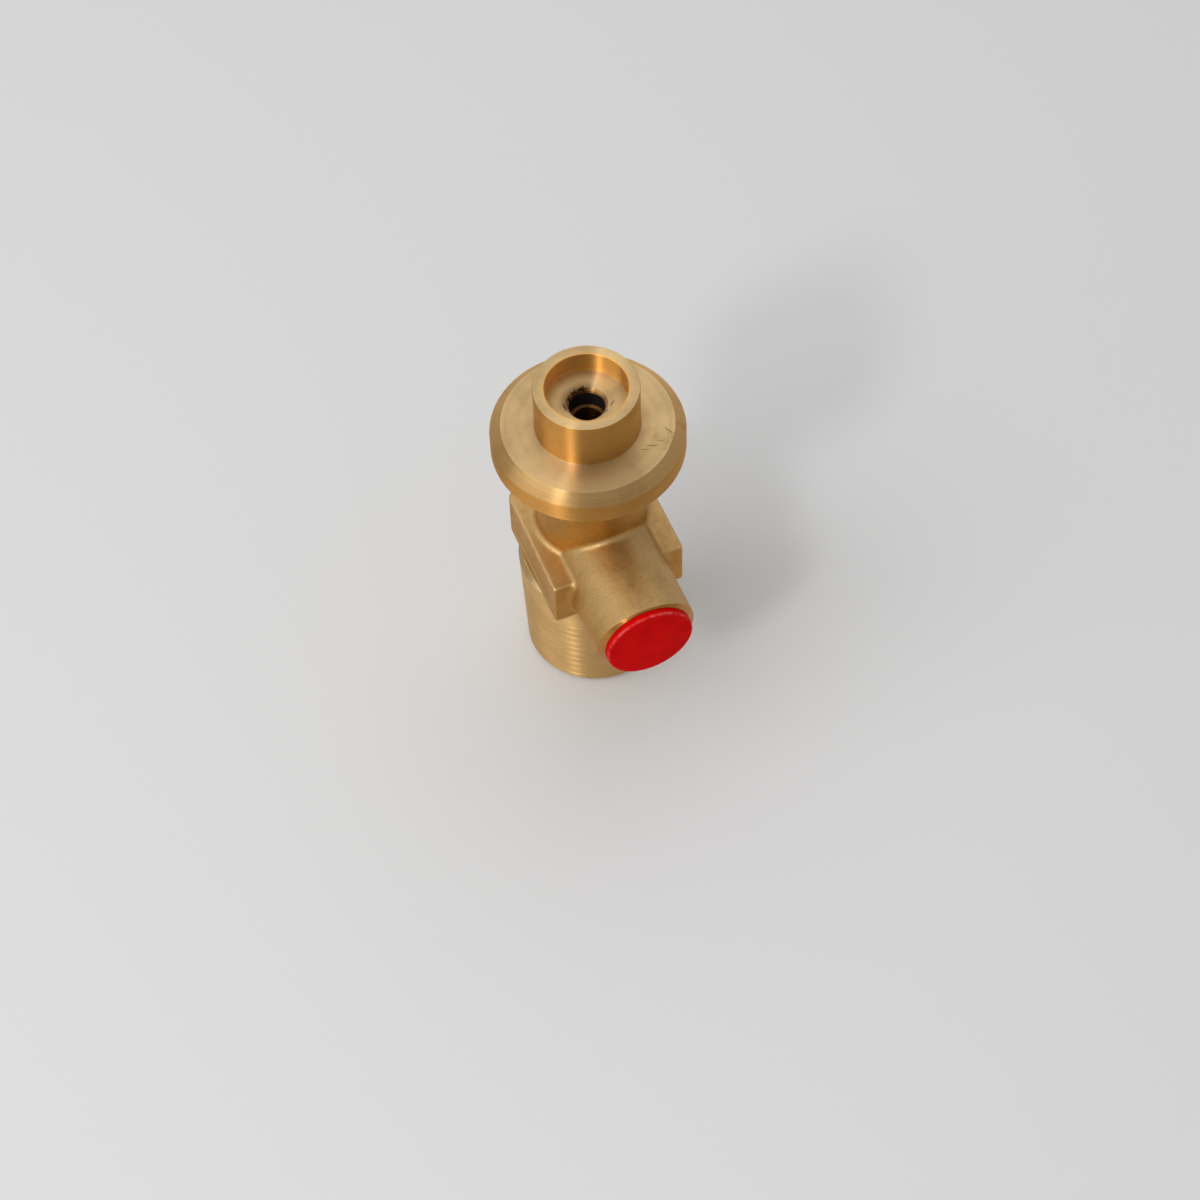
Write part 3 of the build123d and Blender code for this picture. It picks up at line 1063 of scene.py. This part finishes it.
@dataclass
class ValveBody:
    """The brass body: a forged middle with a turned neck and head, a threaded stem and a machined mouth."""

    # Inlet stem and its thread.
    thread_radius: float = 13.1
    thread_taper: float = 0.0334
    thread_pitch: float = 1.814
    thread_depth: float = 0.15
    thread_crest: float = 0.55
    thread_lead: float = 0.9
    thread_rows: int = 210
    runout_start: float = 18.4
    runout_end: float = 21.3
    stem_top: float = 26.3
    stem_chamfer: float = 0.8
    stem_lap: float = 10.6
    stem_cut: float = 22.2
    stem_sides: int = 192
    chamber_radius: float = 7.5
    inlet_chamfer: float = 0.6

    # Wrench block in plan.
    block_half_width: float = 12.75
    block_front: float = 13.3
    block_back: float = 11.3
    block_front_corner: float = 0.45
    block_back_corner: float = 2.4

    # Neck, flange and spigot, from the plane where the forged skin ends.
    head_cut: float = 44.0
    head_sides: int = 288
    neck_radius: float = 10.1
    flange_base: float = 57.6
    flange_clear: float = 0.3
    flange_radius: float = 17.5
    flange_shoulder: float = 61.7
    flange_top: float = 63.7
    flange_top_radius: float = 15.5
    nick_turn: float = -0.40
    nick_width: float = 0.045
    nick_depth: float = 0.3
    spigot_radius: float = 9.45
    rim: float = 73.5

    # Bores of the head, from the rim down.
    bore_radius: float = 7.4
    groove_depth: float = 0.2
    groove_top: float = 70.6
    groove_base: float = 70.0
    floor_edge: float = 69.2
    probe_mouth: float = 68.85
    probe_radius: float = 3.3
    probe_countersink: float = 0.45
    lip_top: float = 68.4
    lip_base: float = 67.8
    gasket_radius: float = 5.02
    gasket_base: float = 64.68
    stem_hole: float = 2.65

    # Relief boss; faces that point outward at least this squarely are forged.
    boss_drop: float = 0.35
    boss_half_width: float = 9.5
    boss_half_height: float = 9.0
    mouth_radius: float = 8.35
    mouth_cut: float = 25.3
    relief_bore: float = 6.2
    outward: float = 0.9

    # Forged skin: how it is grown, where its edges rub bright and how uneven the die left it.
    skin_voxel: float = 0.246
    soften_share: float = 0.5
    soften_passes: int = 2
    inside_skin: float = 9.1
    wear_margin: float = 0.7
    wear_bend: float = 0.3
    wear_range: float = 0.35
    ripple: float = 0.03
    ripple_margin: float = 0.6
    ripple_fade: float = 3.0
    ripple_broad: float = 0.35
    ripple_fine: float = 0.9
    ripple_fine_share: float = 0.5

    # How far the skin is tucked under the turned stem, and the margins round the stem that decide where.
    tuck: float = 0.2
    tuck_reach: float = 0.5
    tuck_rise: float = 0.45
    tuck_edge: float = 0.05
    tuck_block: float = 0.06
    tuck_top: float = 0.02

    forged: ForgedBrass = field(default_factory=ForgedBrass)
    turned: HeadBrass = field(default_factory=HeadBrass)
    machined: TurnedBrass = field(
        default_factory=lambda: TurnedBrass(
            name="machined_mouth",
            axis="Y",
            offset=BOSS_AXIS * MM,
            # painted shade: the mouth's end faces are painted darker, standing in for the dark surroundings
            # they reflect
            square_face_shading=tone(192, 134, 70),
            roughness=Ramp(0.3, 0.7, 0.28, 0.36),
        )
    )
    threaded: TurnedBrass = field(
        default_factory=lambda: TurnedBrass(
            name="turned_thread",
            turned=tone(222, 180, 117),
            ring_depth=0.000003,
            ring_tone=Ramp(0.4, 0.75, 0.0, 0.1),
            roughness=Ramp(0.3, 0.7, 0.34, 0.40),
        )
    )

    def build(self) -> None:
        """Build the body's four pieces, which together stand for its solid."""
        forged = self.forged.material()
        forging = self._forging(forged)
        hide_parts("valve_body")
        settle(forging, BODY)
        machined = (
            self._head(forged, self.turned.material()),
            self._mouth(forged, self.machined.material()),
            self._stem(self.threaded.material()),
        )
        for piece in machined:
            settle(piece, BODY)

    def _forging(self, material: Material) -> Piece:
        """Grow the forged skin from the solid: remeshed, softened, cut at the machined planes and rippled.

        Args:
            material: The forged material.

        Returns:
            The forged piece.
        """
        source = bmesh.new()
        source.from_mesh(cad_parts["valve_body"].data)
        bmesh.ops.remove_doubles(source, verts=source.verts, dist=MERGE_GAP)
        data = bpy.data.meshes.new("forging_source")
        source.to_mesh(data)
        source.free()
        carrier = bpy.data.objects.new("forging_source", data)
        bpy.context.scene.collection.objects.link(carrier)
        remesh = carrier.modifiers.new("skin", "REMESH")
        remesh.mode = "VOXEL"
        remesh.voxel_size = self.skin_voxel * MM
        soften = carrier.modifiers.new("soften", "SMOOTH")
        soften.factor = self.soften_share
        soften.iterations = self.soften_passes
        graph = bpy.context.evaluated_depsgraph_get()
        skin_data = bpy.data.meshes.new_from_object(carrier.evaluated_get(graph))
        bpy.data.objects.remove(carrier)
        skin = bmesh.new()
        skin.from_mesh(skin_data)
        bpy.data.meshes.remove(skin_data)
        for zone in ForgedZone:
            self._cut(skin, zone)
        self._wear(skin)
        self._ripple(skin)
        piece = finish_mesh("body_forging", skin, smooth_angle=60)
        dress(piece, material)
        return piece

    def _cut(self, skin: bmesh.types.BMesh, zone: ForgedZone) -> None:
        """Cut the skin flat where a machined piece takes over, and close the cut.

        Args:
            skin: The forged skin.
            zone: The plane to cut at.
        """
        places = {
            ForgedZone.STEM: ((0, 0, self.stem_cut), (0, 0, -1)),
            ForgedZone.HEAD: ((0, 0, self.head_cut), (0, 0, 1)),
            ForgedZone.MOUTH: ((0, -self.mouth_cut, 0), (0, -1, 0)),
        }
        origin, normal = places[zone]
        geometry = skin.verts[:] + skin.edges[:] + skin.faces[:]
        cut = bmesh.ops.bisect_plane(
            skin,
            geom=geometry,
            dist=DOUBLE_GAP,
            plane_co=Vector(origin) * MM,
            plane_no=Vector(normal),
            clear_outer=True,
        )
        edges = [item for item in cut["geom_cut"] if isinstance(item, bmesh.types.BMEdge)]
        bmesh.ops.triangle_fill(skin, edges=edges, use_beauty=True, normal=Vector(normal))

    def _to_cut(self, place: Vector) -> float:
        """How far a point is from the nearest cut, in millimetres.

        Args:
            place: The point, in millimetres.

        Returns:
            The distance.
        """
        to_stem = abs(place.z - self.stem_cut)
        to_head = abs(place.z - self.head_cut)
        return min(to_stem, to_head, abs(place.y + self.mouth_cut))

    def _wear(self, skin: bmesh.types.BMesh) -> None:
        """Mark the forging's outer edges, where handling rubs them bright.

        Args:
            skin: The forged skin.
        """
        layer = skin.verts.layers.float.new(WEAR)
        bends = []
        for vertex in skin.verts:
            place = vertex.co / MM
            inside = math.hypot(place.x, place.y) < self.inside_skin
            if inside or self._to_cut(place) < self.wear_margin:
                bends.append(0.0)
                continue
            bend = max(edge.calc_face_angle_signed(0.0) for edge in vertex.link_edges)
            bends.append(min(1.0, max(0.0, (bend - self.wear_bend) / self.wear_range)))
        skin.verts.index_update()
        for vertex in skin.verts:
            near = [bends[edge.other_vert(vertex).index] for edge in vertex.link_edges]
            vertex[layer] = (bends[vertex.index] + sum(near)) / (1 + len(near))

    def _ripple(self, skin: bmesh.types.BMesh) -> None:
        """Give the forged faces the slight unevenness of a die, and tuck the skin under the turned stem.

        Args:
            skin: The forged skin.
        """
        skin.normal_update()
        for vertex in skin.verts:
            place = vertex.co / MM
            reach = math.hypot(place.x, place.y)
            clear = self._to_cut(place)
            tucked = self._tucked(place)
            if tucked is not None:
                vertex.co = tucked * MM
            elif reach > self.inside_skin and clear > self.ripple_margin:
                wave = noise.noise(place * self.ripple_broad)
                wave += self.ripple_fine_share * noise.noise(place * self.ripple_fine)
                vertex.co += vertex.normal * (wave * self.ripple * min(1.0, clear / self.ripple_fade)) * MM

    def _tucked(self, place: Vector) -> Vector | None:
        """Where a point of the skin goes if the turned stem covers it.

        Args:
            place: The point, in millimetres.

        Returns:
            The point's place under the stem, or None where the stem leaves the skin bare.
        """
        reach = math.hypot(place.x, place.y)
        stem = self._stem_radius(self.stem_top)
        near = self.neck_radius < reach < stem + self.tuck_reach
        if not near or place.z > self.stem_top + self.tuck_rise:
            return None
        height = place.z
        if reach < stem + self.tuck_edge and self._outside_block(place) > self.tuck_block:
            height = min(height, self.stem_top - self.tuck)
        if height > self.stem_top - self.tuck_top:
            return None
        shoulder = self.stem_top - self.stem_chamfer
        limit = self._stem_radius(min(height, shoulder)) - max(0.0, height - shoulder) - self.tuck
        share = min(1.0, limit / reach)
        return Vector((place.x * share, place.y * share, height))

    def _outside_block(self, place: Vector) -> float:
        """How far a point lies outside the wrench block's outline in plan.

        Args:
            place: The point, in millimetres.

        Returns:
            The distance, negative inside.
        """
        middle = (self.block_back - self.block_front) / 2
        corner = self.block_back_corner if place.y > middle else self.block_front_corner
        east = abs(place.x) - self.block_half_width + corner
        north = abs(place.y - middle) - (self.block_back + self.block_front) / 2 + corner
        return min(max(east, north), 0.0) + math.hypot(max(east, 0.0), max(north, 0.0)) - corner

    def _head(self, forged: Material, turned: Material) -> Piece:
        """Turn the neck, the flange, the spigot and the bores of the head.

        Args:
            forged: The material of the neck's outside.
            turned: The material of what the lathe has cut.

        Returns:
            The head.
        """

        def section(angle: float) -> Sequence[Corner]:
            """The head's half section, with the nick in the flange's edge at one angle."""
            away = abs(math.remainder(angle - self.nick_turn, 2 * math.pi))
            nick = self.nick_depth * max(0.0, 1 - away / self.nick_width)
            return (
                (self.neck_radius, self.head_cut, 0),
                (self.neck_radius, self.flange_base, 0.5),
                (self.flange_radius, self.flange_base, 0.3),
                (self.flange_radius - nick, self.flange_shoulder - nick, 0.1),
                (self.flange_top_radius, self.flange_top, 0.1),
                (self.spigot_radius, self.flange_top, 0.2),
                (self.spigot_radius, self.rim, 0.16),
                (self.bore_radius, self.rim, 0.12),
                (self.bore_radius, self.groove_top, 0.05),
                (self.bore_radius + self.groove_depth, self.groove_top, 0.05),
                (self.bore_radius + self.groove_depth, self.groove_base, 0.05),
                (self.bore_radius, self.groove_base, 0.05),
                (self.bore_radius, self.floor_edge, 0.15),
                (self.probe_radius + self.probe_countersink, self.probe_mouth, 0.25),
                (self.probe_radius, self.lip_top, 0.15),
                (self.probe_radius, self.lip_base, 0.05),
                (self.gasket_radius, self.lip_base, 0),
                (self.gasket_radius, self.gasket_base, 0),
                (self.stem_hole, self.gasket_base, 0.1),
                (self.stem_hole, self.head_cut, 0),
            )

        piece = Lathe(TurningAxis.BODY, segments=self.head_sides).turn("body_head", section)
        piece.data.materials.append(forged)
        piece.data.materials.append(turned)
        for face in piece.data.polygons:
            under = face.center.z < (self.flange_base - self.flange_clear) * MM
            outside = face.center.xy.length > self.gasket_radius * MM
            face.material_index = 0 if under and outside else 1
        return piece

    def _boss_radius(self, angle: float) -> float:
        """Distance from the bore's axis to the forged oval of the boss.

        Args:
            angle: Turn about the bore's axis.

        Returns:
            The distance, in millimetres.
        """
        across, rise = math.cos(angle) / self.boss_half_width, math.sin(angle) / self.boss_half_height
        drop = self.boss_drop / self.boss_half_height
        square = across**2 + rise**2
        return (math.sqrt((rise * drop) ** 2 + square * (1 - drop**2)) - rise * drop) / square

    def _mouth(self, forged: Material, machined: Material) -> Piece:
        """Turn the machined mouth of the relief boss, in the end of its forged oval.

        Args:
            forged: The material of the oval's outside.
            machined: The material of what the lathe has cut.

        Returns:
            The mouth.
        """

        def section(angle: float) -> Sequence[Corner]:
            """The mouth's half section, out to the oval."""
            outside = self._boss_radius(angle)
            return (
                (self.relief_bore, self.mouth_cut, 0),
                (outside, self.mouth_cut, 0),
                (outside, BOSS_REACH - (outside - self.mouth_radius), 0.1),
                (self.mouth_radius, BOSS_REACH, 0.1),
                (self.relief_bore, BOSS_REACH, 0.15),
            )

        piece = Lathe(TurningAxis.RELIEF).turn("boss_mouth", section)
        piece.data.materials.append(forged)
        piece.data.materials.append(machined)
        centre = Vector((0, 0, BOSS_AXIS * MM))
        for face in piece.data.polygons:
            spoke = face.center - centre
            spoke.y = 0
            face.material_index = 0 if spoke.normalized().dot(face.normal) > self.outward else 1
        return piece

    def _stem_radius(self, height: float) -> float:
        """Radius of the stem's cone.

        Args:
            height: Height above the inlet end, in millimetres.

        Returns:
            The radius, in millimetres.
        """
        return self.thread_radius + (height - self.thread_lead) * self.thread_taper

    def _stem(self, material: Material) -> Piece:
        """Turn the stem: the threaded cone outside, the inlet end and the chamber's mouth inside.

        Args:
            material: The turned material.

        Returns:
            The stem.
        """
        shoulder = self.stem_top - self.stem_chamfer
        corners = [
            (self._stem_radius(shoulder), shoulder, 0),
            (self._stem_radius(shoulder) - self.stem_chamfer, self.stem_top, 0.3),
            (self.stem_lap, self.stem_top, 0),
            (self.stem_lap, self.stem_cut, 0),
            (self.chamber_radius, self.stem_cut, 0),
            (self.chamber_radius, self.inlet_chamfer, 0.05),
            (self.chamber_radius + self.inlet_chamfer, 0, 0.05),
            (self._stem_radius(0) - self.thread_lead, 0, 0),
        ]
        lathe = Lathe(TurningAxis.BODY, segments=self.stem_sides)
        core = lathe.turn("stem_core", steady(corners), closed=False)
        piece = weld("inlet_stem", (core, self._thread(material, shoulder)))
        dress(piece, material)
        return piece

    def _thread(self, material: Material, length: float) -> Piece:
        """Cut the tapered thread: a cone with a narrow groove along a helix, which runs out below the top.

        Args:
            material: The turned material.
            length: Length of the cone, in millimetres.

        Returns:
            The cone, open at both ends.
        """
        sizes = {
            "Length": length * MM,
            "Radius": self._stem_radius(0) * MM,
            "Taper": self.thread_taper,
            "Pitch": self.thread_pitch * MM,
            "Depth": self.thread_depth * MM,
            "Lead": self.thread_lead * MM,
            "Runout Start": self.runout_start * MM,
            "Runout End": self.runout_end * MM,
        }
        recipe = NodeRecipe("tapered_thread", sizes)
        grid = recipe.node(
            "GeometryNodeMeshGrid",
            Size_X=1.0,
            Size_Y=1.0,
            Vertices_X=self.stem_sides + 1,
            Vertices_Y=self.thread_rows,
        )
        position = recipe.node("GeometryNodeInputPosition")
        spot = recipe.node("ShaderNodeSeparateXYZ", Vector=position.outputs[0])
        turn = recipe.plus(spot.outputs[0], 0.5)
        height = recipe.times(recipe.plus(spot.outputs[1], 0.5), recipe.size("Length"))
        angle = recipe.times(turn, 2 * math.pi)
        phase = recipe.minus(recipe.math("DIVIDE", height, recipe.size("Pitch")), turn)
        wave = recipe.times(recipe.math("PINGPONG", phase, 0.5), 2.0)
        groove = recipe.span(wave, Ramp(self.thread_crest, 1.0))
        runout = Ramp(recipe.size("Runout Start"), recipe.size("Runout End"), 1.0, 0.0)
        depth = recipe.times(recipe.span(height, runout), recipe.size("Depth"))
        cut = recipe.times(groove, depth)
        start = recipe.math("MAXIMUM", recipe.minus(recipe.size("Lead"), height), 0.0)
        crest = recipe.plus(recipe.size("Radius"), recipe.times(height, recipe.size("Taper")))
        radius = recipe.minus(crest, recipe.math("MAXIMUM", cut, start))
        place = recipe.node(
            "ShaderNodeCombineXYZ",
            X=recipe.times(radius, recipe.math("COSINE", angle)),
            Y=recipe.times(radius, recipe.math("SINE", angle)),
            Z=height,
        )
        mesh = grid.outputs["Mesh"]
        moved = recipe.node("GeometryNodeSetPosition", Geometry=mesh, Position=place.outputs[0])
        closed = recipe.node(
            "GeometryNodeMergeByDistance", Geometry=moved.outputs[0], Distance=MERGE_GAP
        )
        return recipe.bake("stem_thread", closed.outputs[0], material)


@dataclass(frozen=True)
class Squeeze:
    """How a spring shortens as its joint moves."""

    joint: str
    axis: Place
    anchor: Place
    keep: float


@dataclass
class CoilSpring:
    """A round-wire spring wound along a helix between two stations."""

    name: str
    node: str
    axis: TurningAxis
    start: float
    end: float
    coil_radius: float
    wire_radius: float
    pitch: float
    squeeze: Squeeze
    sides: int = 12
    steps_per_turn: int = 48

    def build(self, material: Material) -> None:
        """Wind the spring and put it in place of its solid.

        Args:
            material: The wire's material.
        """
        length = self.end - self.start
        sizes = {
            "Length": length * MM,
            "Turns": length / self.pitch,
            "Coil": self.coil_radius * MM,
            "Wire": self.wire_radius * MM,
        }
        recipe = NodeRecipe(self.name + "_coil", sizes)
        helix = recipe.node(
            "GeometryNodeCurveSpiral",
            Resolution=self.steps_per_turn,
            Rotations=recipe.size("Turns"),
            Start_Radius=recipe.size("Coil"),
            End_Radius=recipe.size("Coil"),
            Height=recipe.size("Length"),
        )
        section = recipe.node(
            "GeometryNodeCurvePrimitiveCircle", Resolution=self.sides, Radius=recipe.size("Wire")
        )
        wire = recipe.node(
            "GeometryNodeCurveToMesh",
            Curve=helix.outputs[0],
            Profile_Curve=section.outputs[0],
            Fill_Caps=True,
        )
        piece = recipe.bake(self.name, wire.outputs[0], material)
        piece.data.transform(self._placement())
        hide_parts(self.node)
        settle(piece, BODY)
        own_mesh(piece)

    def _placement(self) -> Matrix:
        """Where the coil goes from its own frame."""
        if self.axis is TurningAxis.BODY:
            return Matrix.Translation((0, 0, self.start * MM))
        lie = Matrix.Rotation(math.radians(90), 4, "X")
        return Matrix.Translation((0, -self.start * MM, BOSS_AXIS * MM)) @ lie


@dataclass
class MainValve:
    """The poppet, its washer, spring and retainer, and the gasket in the head."""

    turned: SpindleBrass = field(default_factory=SpindleBrass)
    rubber: BlackRubber = field(default_factory=BlackRubber)
    steel: SpringSteel = field(default_factory=SpringSteel)
    spring: CoilSpring = field(
        default_factory=lambda: CoilSpring(
            name="poppet_coil",
            node="poppet_spring",
            axis=TurningAxis.BODY,
            start=9.65,
            end=36.65,
            coil_radius=4.45,
            wire_radius=0.55,
            pitch=4.5,
            squeeze=Squeeze("poppet_open", (0, 0, 1), (0, 0, 0.009), 0.876),
        )
    )

    def build(self) -> None:
        """Dress the solids and wind the spring."""
        brass = self.turned.material()
        rubber = self.rubber.material()
        for node in ("poppet_spindle", "inlet_retainer"):
            dress(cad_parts[node], brass)
        for node in ("probe_gasket", "poppet_washer"):
            dress(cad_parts[node], rubber)
        self.spring.build(self.steel.material())


@dataclass
class ReliefValve:
    """The relief disc, pad, spring and adjuster behind the red dust cap."""

    cap_radius: float = 8.25
    cap_face: float = 28.35
    plug_radius: float = 6.15
    plug_wall: float = 1.2
    plug_length: float = 3.6
    plug_floor: float = 0.3
    cap_sides: int = 144
    turned: TurnedBrass = field(
        default_factory=lambda: TurnedBrass(
            name="turned_relief", axis="Y", offset=BOSS_AXIS * MM, rings_per_metre=7000
        )
    )
    rubber: BlackRubber = field(default_factory=lambda: BlackRubber("black_pad"))
    steel: SpringSteel = field(default_factory=lambda: SpringSteel("relief_steel"))
    plastic: RedPlastic = field(default_factory=RedPlastic)
    spring: CoilSpring = field(
        default_factory=lambda: CoilSpring(
            name="relief_coil",
            node="relief_spring",
            axis=TurningAxis.RELIEF,
            start=14.75,
            end=20.05,
            coil_radius=3.65,
            wire_radius=0.45,
            pitch=1.6,
            squeeze=Squeeze("relief_lift", (0, 1, 0), (0, -0.0206, 0.0325), 0.8125),
        )
    )

    def build(self) -> None:
        """Dress the solids, wind the spring and mould the cap."""
        brass = self.turned.material()
        for node in ("relief_disc", "relief_adjuster"):
            dress(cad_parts[node], brass)
        dress(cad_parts["relief_pad"], self.rubber.material())
        self.spring.build(self.steel.material())
        self._cap(self.plastic.material())

    def _cap(self, material: Material) -> None:
        """Mould the dust cap.

        Args:
            material: The red plastic.
        """
        back = BOSS_REACH - self.plug_length
        floor = BOSS_REACH + self.plug_floor
        hollow = self.plug_radius - self.plug_wall
        corners = [
            (0, floor, 0),
            (hollow, floor, 0.3),
            (hollow, back, 0.1),
            (self.plug_radius, back, 0.4),
            (self.plug_radius, BOSS_REACH, 0),
            (self.cap_radius, BOSS_REACH, 0.15),
            (self.cap_radius, self.cap_face, 0.35),
            (0, self.cap_face, 0),
        ]
        lathe = Lathe(TurningAxis.RELIEF, segments=self.cap_sides)
        piece = lathe.turn("dust_cap_moulding", steady(corners))
        dress(piece, material)
        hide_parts("relief_cap")
        settle(piece, DUST_CAP)


@dataclass(frozen=True)
class Softbox:
    """One soft studio lamp that looks at the valve."""

    name: str
    place: Place
    size: float
    power: float
    target: Place = (0.0, 0.0, 0.045)

    def build(self) -> None:
        """Hang the lamp."""
        data = bpy.data.lights.new(self.name, "AREA")
        data.shape = "DISK"
        data.size = self.size
        data.energy = self.power
        lamp = bpy.data.objects.new(self.name, data)
        lamp.location = self.place
        aim = Vector(self.target) - Vector(self.place)
        lamp.rotation_euler = aim.to_track_quat("-Z", "Y").to_euler()
        bpy.context.scene.collection.objects.link(lamp)


@dataclass
class Studio:
    """Pale floor, soft lamps, and the camera at the photograph's angle."""

    floor_size: float = 6.0
    floor_colour: Colour = tone(222, 222, 222)
    floor_rough: float = 0.9
    floor_specular: float = 0.1
    camera_place: Place = (-0.109389, -0.299823, 0.470497)
    camera_yaw: float = -20.216
    camera_pitch: float = -55.375
    camera_roll: float = -2.239
    focal_length: float = 87.66
    sensor_width: float = 36.0
    near_clip: float = 0.01
    world_light: float = 0.40
    lamps: tuple[Softbox, ...] = (
        Softbox("side_softbox", (-0.80, -0.10, 0.90), 1.2, 5.6),
        Softbox("top_softbox", (0.15, 0.50, 1.10), 1.5, 4.0),
        Softbox("key_softbox", (-0.51, -0.37, 0.54), 0.12, 1.2),
    )

    def build(self) -> None:
        """Build the floor, the light and the camera."""
        self._floor()
        self._world()
        for lamp in self.lamps:
            lamp.build()
        self._camera()
        bpy.context.scene.view_settings.view_transform = "Standard"

    def _floor(self) -> None:
        """Lay the pale floor."""
        mesh = bmesh.new()
        bmesh.ops.create_grid(mesh, x_segments=1, y_segments=1, size=self.floor_size / 2)
        data = bpy.data.meshes.new("floor")
        mesh.to_mesh(data)
        mesh.free()
        floor = bpy.data.objects.new("floor", data)
        bpy.context.scene.collection.objects.link(floor)
        t = ShaderTree("pale_floor")
        t.set("Base Color", self.floor_colour)
        t.set("Roughness", self.floor_rough)
        t.set("Specular IOR Level", self.floor_specular)
        dress(floor, t.material)

    def _world(self) -> None:
        """Light the scene softly from all round."""
        world = bpy.data.worlds.new("studio")
        world.use_nodes = True
        tree = world.node_tree
        tree.nodes.clear()
        output = tree.nodes.new("ShaderNodeOutputWorld")
        background = tree.nodes.new("ShaderNodeBackground")
        background.inputs["Color"].default_value = (1.0, 1.0, 1.0, 1.0)
        background.inputs["Strength"].default_value = self.world_light
        tree.links.new(background.outputs[0], output.inputs["Surface"])
        bpy.context.scene.world = world

    def _camera(self) -> None:
        """Stand the camera where the photograph was taken from."""
        yaw, pitch, roll = (math.radians(a) for a in (self.camera_yaw, self.camera_pitch, self.camera_roll))
        level_reach = math.cos(pitch)
        ahead = Vector((-math.sin(yaw) * level_reach, math.cos(yaw) * level_reach, math.sin(pitch)))
        level = Vector((math.cos(yaw), math.sin(yaw), 0.0))
        above = level.cross(ahead)
        right = math.cos(roll) * level + math.sin(roll) * above
        up = -math.sin(roll) * level + math.cos(roll) * above
        data = bpy.data.cameras.new("photo_camera")
        data.sensor_width = self.sensor_width
        data.lens = self.focal_length
        data.clip_start = self.near_clip
        camera = bpy.data.objects.new("photo_camera", data)
        turn = Matrix((right, up, -ahead)).transposed().to_4x4()
        camera.matrix_world = Matrix.Translation(self.camera_place) @ turn
        bpy.context.scene.collection.objects.link(camera)
        bpy.context.scene.camera = camera


def main() -> None:
    """Build the valve's sub-assemblies and the studio, in order."""
    for assembly in (ValveBody(), MainValve(), ReliefValve()):
        assembly.build()
        log.info("built %s", type(assembly).__name__)
    Studio().build()


if __name__ == "__main__":
    main()
